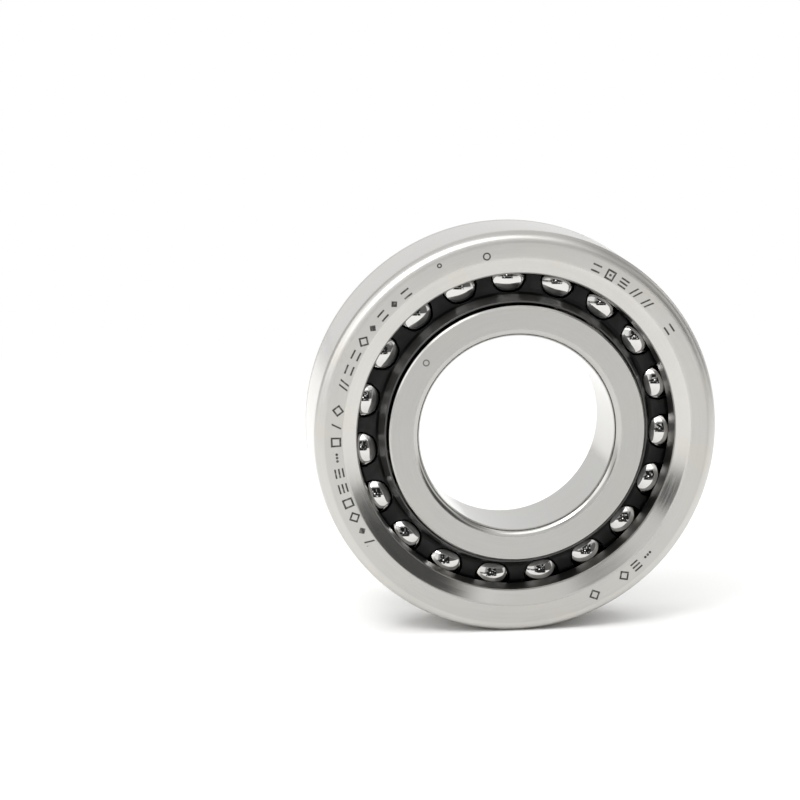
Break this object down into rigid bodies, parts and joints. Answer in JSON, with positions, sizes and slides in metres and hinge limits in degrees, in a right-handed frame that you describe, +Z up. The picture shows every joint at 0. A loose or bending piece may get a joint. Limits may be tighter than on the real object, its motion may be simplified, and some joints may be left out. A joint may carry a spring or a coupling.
{
  "type": "angular contact bearing",
  "caption": "Open single-row angular contact ball bearing for axial load, with steel rings, a black moulded cage and polished balls.",
  "frame": {"origin": "centre of the bearing: on its axis, at the middle of its width", "axes": "+Y along the bearing axis, from the outer ring's thick-shoulder face towards its open face; +Z up with the bearing standing on its outside diameter"},
  "size_m": [0.062, 0.015, 0.062],
  "materials": {
    "outer_ring_steel": "ground, bright rounded corner",
    "inner_ring_steel": "ground",
    "ball_steel": "mirror polished",
    "cage_polymer": "moulded, dark, slightly oiled"
  },
  "bodies": {
    "outer_ring": {"outer_ring": "outer_ring_steel"},
    "inner_ring": {"inner_ring": "inner_ring_steel"},
    "cage": {"cage": "cage_polymer"},
    "ball_01": {"ball_01": "ball_steel"},
    "ball_02": {"ball_02": "ball_steel"},
    "ball_03": {"ball_03": "ball_steel"},
    "ball_04": {"ball_04": "ball_steel"},
    "ball_05": {"ball_05": "ball_steel"},
    "ball_06": {"ball_06": "ball_steel"},
    "ball_07": {"ball_07": "ball_steel"},
    "ball_08": {"ball_08": "ball_steel"},
    "ball_09": {"ball_09": "ball_steel"},
    "ball_10": {"ball_10": "ball_steel"},
    "ball_11": {"ball_11": "ball_steel"},
    "ball_12": {"ball_12": "ball_steel"},
    "ball_13": {"ball_13": "ball_steel"},
    "ball_14": {"ball_14": "ball_steel"},
    "ball_15": {"ball_15": "ball_steel"},
    "ball_16": {"ball_16": "ball_steel"},
    "ball_17": {"ball_17": "ball_steel"},
    "ball_18": {"ball_18": "ball_steel"},
    "ball_19": {"ball_19": "ball_steel"}
  },
  "joints": [
    {"name": "inner_ring_spin", "type": "hinge", "parent": "outer_ring", "child": "inner_ring", "pos_m": [0, 0, 0], "axis": [0, 1, 0], "continuous": true},
    {"name": "cage_spin", "type": "hinge", "parent": "outer_ring", "child": "cage", "pos_m": [0, 0, 0], "axis": [0, 1, 0], "continuous": true},
    {"name": "ball_01_spin", "type": "hinge", "parent": "cage", "child": "ball_01", "pos_m": [0.02247, 0, 0.00653], "axis": [0.8316, 0.5, 0.2416], "continuous": true},
    {"name": "ball_02_spin", "type": "hinge", "parent": "cage", "child": "ball_02", "pos_m": [0.01913, 0, 0.01347], "axis": [0.7081, 0.5, 0.4986], "continuous": true},
    {"name": "ball_03_spin", "type": "hinge", "parent": "cage", "child": "ball_03", "pos_m": [0.01372, 0, 0.01895], "axis": [0.5079, 0.5, 0.7015], "continuous": true},
    {"name": "ball_04_spin", "type": "hinge", "parent": "cage", "child": "ball_04", "pos_m": [0.00683, 0, 0.02238], "axis": [0.2526, 0.5, 0.8284], "continuous": true},
    {"name": "ball_05_spin", "type": "hinge", "parent": "cage", "child": "ball_05", "pos_m": [-0.00081, 0, 0.02339], "axis": [-0.0301, 0.5, 0.8655], "continuous": true},
    {"name": "ball_06_spin", "type": "hinge", "parent": "cage", "child": "ball_06", "pos_m": [-0.00836, 0, 0.02186], "axis": [-0.3095, 0.5, 0.8088], "continuous": true},
    {"name": "ball_07_spin", "type": "hinge", "parent": "cage", "child": "ball_07", "pos_m": [-0.015, 0, 0.01796], "axis": [-0.5553, 0.5, 0.6645], "continuous": true},
    {"name": "ball_08_spin", "type": "hinge", "parent": "cage", "child": "ball_08", "pos_m": [-0.02002, 0, 0.01211], "axis": [-0.741, 0.5, 0.4482], "continuous": true},
    {"name": "ball_09_spin", "type": "hinge", "parent": "cage", "child": "ball_09", "pos_m": [-0.02287, 0, 0.00495], "axis": [-0.8464, 0.5, 0.1833], "continuous": true},
    {"name": "ball_10_spin", "type": "hinge", "parent": "cage", "child": "ball_10", "pos_m": [-0.02324, 0, -0.00274], "axis": [-0.8601, 0.5, -0.1014], "continuous": true},
    {"name": "ball_11_spin", "type": "hinge", "parent": "cage", "child": "ball_11", "pos_m": [-0.02109, 0, -0.01014], "axis": [-0.7805, 0.5, -0.3752], "continuous": true},
    {"name": "ball_12_spin", "type": "hinge", "parent": "cage", "child": "ball_12", "pos_m": [-0.01666, 0, -0.01644], "axis": [-0.6164, 0.5, -0.6083], "continuous": true},
    {"name": "ball_13_spin", "type": "hinge", "parent": "cage", "child": "ball_13", "pos_m": [-0.01042, 0, -0.02095], "axis": [-0.3855, 0.5, -0.7755], "continuous": true},
    {"name": "ball_14_spin", "type": "hinge", "parent": "cage", "child": "ball_14", "pos_m": [-0.00305, 0, -0.0232], "axis": [-0.1128, 0.5, -0.8586], "continuous": true},
    {"name": "ball_15_spin", "type": "hinge", "parent": "cage", "child": "ball_15", "pos_m": [0.00465, 0, -0.02293], "axis": [0.1721, 0.5, -0.8488], "continuous": true},
    {"name": "ball_16_spin", "type": "hinge", "parent": "cage", "child": "ball_16", "pos_m": [0.01184, 0, -0.02018], "axis": [0.4384, 0.5, -0.7469], "continuous": true},
    {"name": "ball_17_spin", "type": "hinge", "parent": "cage", "child": "ball_17", "pos_m": [0.01776, 0, -0.01524], "axis": [0.6571, 0.5, -0.5641], "continuous": true},
    {"name": "ball_18_spin", "type": "hinge", "parent": "cage", "child": "ball_18", "pos_m": [0.02174, 0, -0.00865], "axis": [0.8047, 0.5, -0.3201], "continuous": true},
    {"name": "ball_19_spin", "type": "hinge", "parent": "cage", "child": "ball_19", "pos_m": [0.02337, 0, -0.00112], "axis": [0.865, 0.5, -0.0415], "continuous": true}
  ],
  "couplings": [
    {"joint": "cage_spin", "follows": "inner_ring_spin", "ratio": 0.46184},
    {"joint": "ball_01_spin", "follows": "inner_ring_spin", "ratio": -3.2564},
    {"joint": "ball_02_spin", "follows": "inner_ring_spin", "ratio": -3.2564},
    {"joint": "ball_03_spin", "follows": "inner_ring_spin", "ratio": -3.2564},
    {"joint": "ball_04_spin", "follows": "inner_ring_spin", "ratio": -3.2564},
    {"joint": "ball_05_spin", "follows": "inner_ring_spin", "ratio": -3.2564},
    {"joint": "ball_06_spin", "follows": "inner_ring_spin", "ratio": -3.2564},
    {"joint": "ball_07_spin", "follows": "inner_ring_spin", "ratio": -3.2564},
    {"joint": "ball_08_spin", "follows": "inner_ring_spin", "ratio": -3.2564},
    {"joint": "ball_09_spin", "follows": "inner_ring_spin", "ratio": -3.2564},
    {"joint": "ball_10_spin", "follows": "inner_ring_spin", "ratio": -3.2564},
    {"joint": "ball_11_spin", "follows": "inner_ring_spin", "ratio": -3.2564},
    {"joint": "ball_12_spin", "follows": "inner_ring_spin", "ratio": -3.2564},
    {"joint": "ball_13_spin", "follows": "inner_ring_spin", "ratio": -3.2564},
    {"joint": "ball_14_spin", "follows": "inner_ring_spin", "ratio": -3.2564},
    {"joint": "ball_15_spin", "follows": "inner_ring_spin", "ratio": -3.2564},
    {"joint": "ball_16_spin", "follows": "inner_ring_spin", "ratio": -3.2564},
    {"joint": "ball_17_spin", "follows": "inner_ring_spin", "ratio": -3.2564},
    {"joint": "ball_18_spin", "follows": "inner_ring_spin", "ratio": -3.2564},
    {"joint": "ball_19_spin", "follows": "inner_ring_spin", "ratio": -3.2564}
  ]
}
